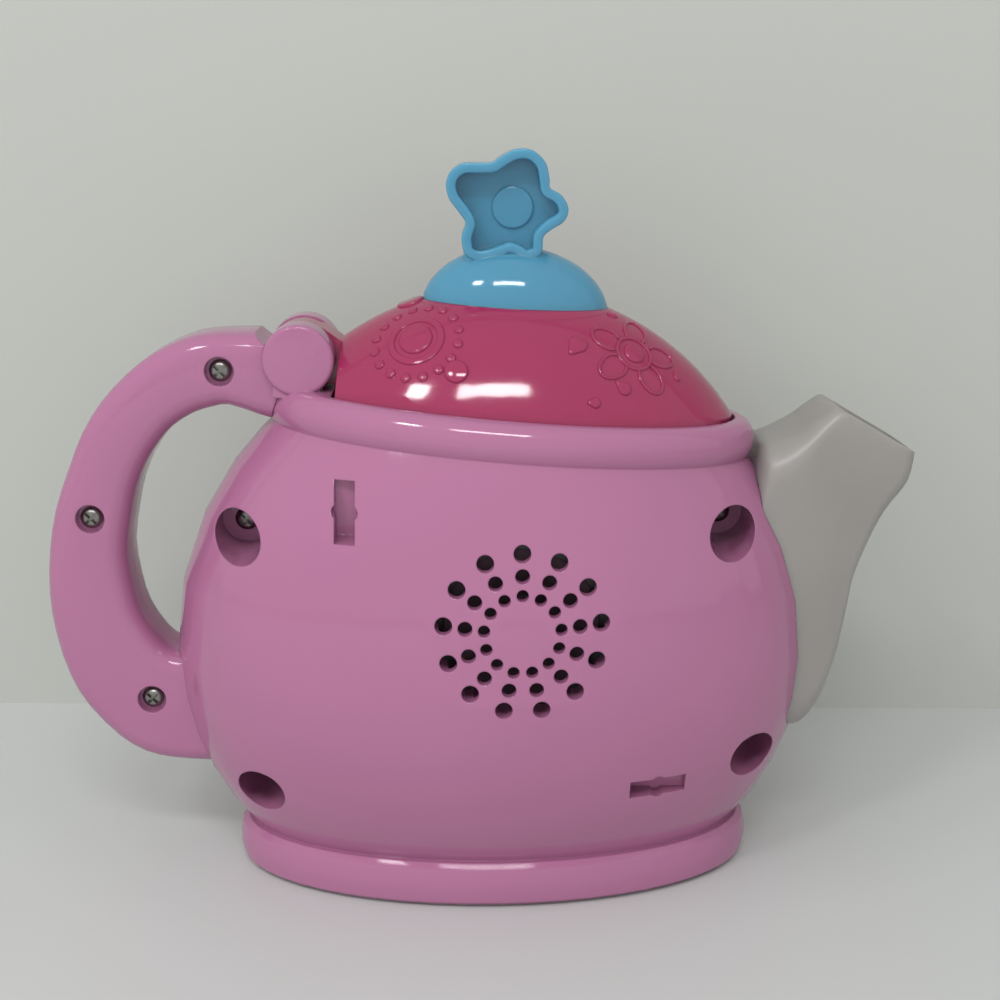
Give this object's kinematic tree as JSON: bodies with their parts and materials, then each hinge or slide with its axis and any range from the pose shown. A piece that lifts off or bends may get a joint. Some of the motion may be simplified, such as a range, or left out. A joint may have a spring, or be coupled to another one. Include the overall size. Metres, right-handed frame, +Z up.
{
  "type": "toy teapot",
  "caption": "Pretend-play electronic teapot with hinged lid, flower knob, loop handle, light-up spout, speaker grille and battery base.",
  "frame": {"origin": "the middle of the foot's underside, on the floor", "axes": "+X towards the spout, +Z up, and the rear shell with the speaker grille faces -Y"},
  "size_m": [0.2108, 0.0904, 0.1762],
  "materials": {
    "body_pink": "gloss",
    "lid_pink": "gloss",
    "knob_blue": "gloss",
    "milky_clear": "gloss, translucent",
    "white_plastic": "satin",
    "dark_plastic": "satin",
    "board_green": "satin",
    "cone_black": "matt paper",
    "cell_wrap": "satin",
    "screw_steel": "polished",
    "contact_steel": "satin"
  },
  "bodies": {
    "pot": {"rear_shell": "body_pink", "front_shell": "body_pink", "handle_rear": "body_pink", "handle_front": "body_pink", "base_plate": "lid_pink", "battery_door": "lid_pink", "door_screw": "screw_steel", "batteries": "cell_wrap", "battery_springs": "contact_steel", "battery_contacts": "contact_steel", "switch_housing": "contact_steel", "main_board": "board_green", "board_parts": "dark_plastic", "tilt_switch": "contact_steel", "board_screws": "screw_steel", "speaker_frame": "dark_plastic", "speaker_cone": "cone_black", "speaker_magnet": "contact_steel", "speaker_clamp": "body_pink", "clamp_screws": "screw_steel", "spout": "milky_clear", "light_board": "board_green", "spout_lights": "white_plastic", "tea_well": "body_pink", "hinge_pin": "screw_steel", "body_screws": "screw_steel", "handle_screws": "screw_steel"},
    "lid_group": {"lid": "lid_pink", "knob": "knob_blue", "knob_screw": "screw_steel"},
    "switch": {"switch_slider": "white_plastic"}
  },
  "joints": [
    {"name": "lid_hinge", "type": "hinge", "parent": "pot", "child": "lid_group", "pos_m": [-0.0452, 0, 0.12904], "axis": [0, -1, 0], "range_deg": [0, 100]},
    {"name": "power_slide", "type": "slide", "parent": "pot", "child": "switch", "axis": [0, 1, 0], "range_m": [0, 0.008]}
  ]
}
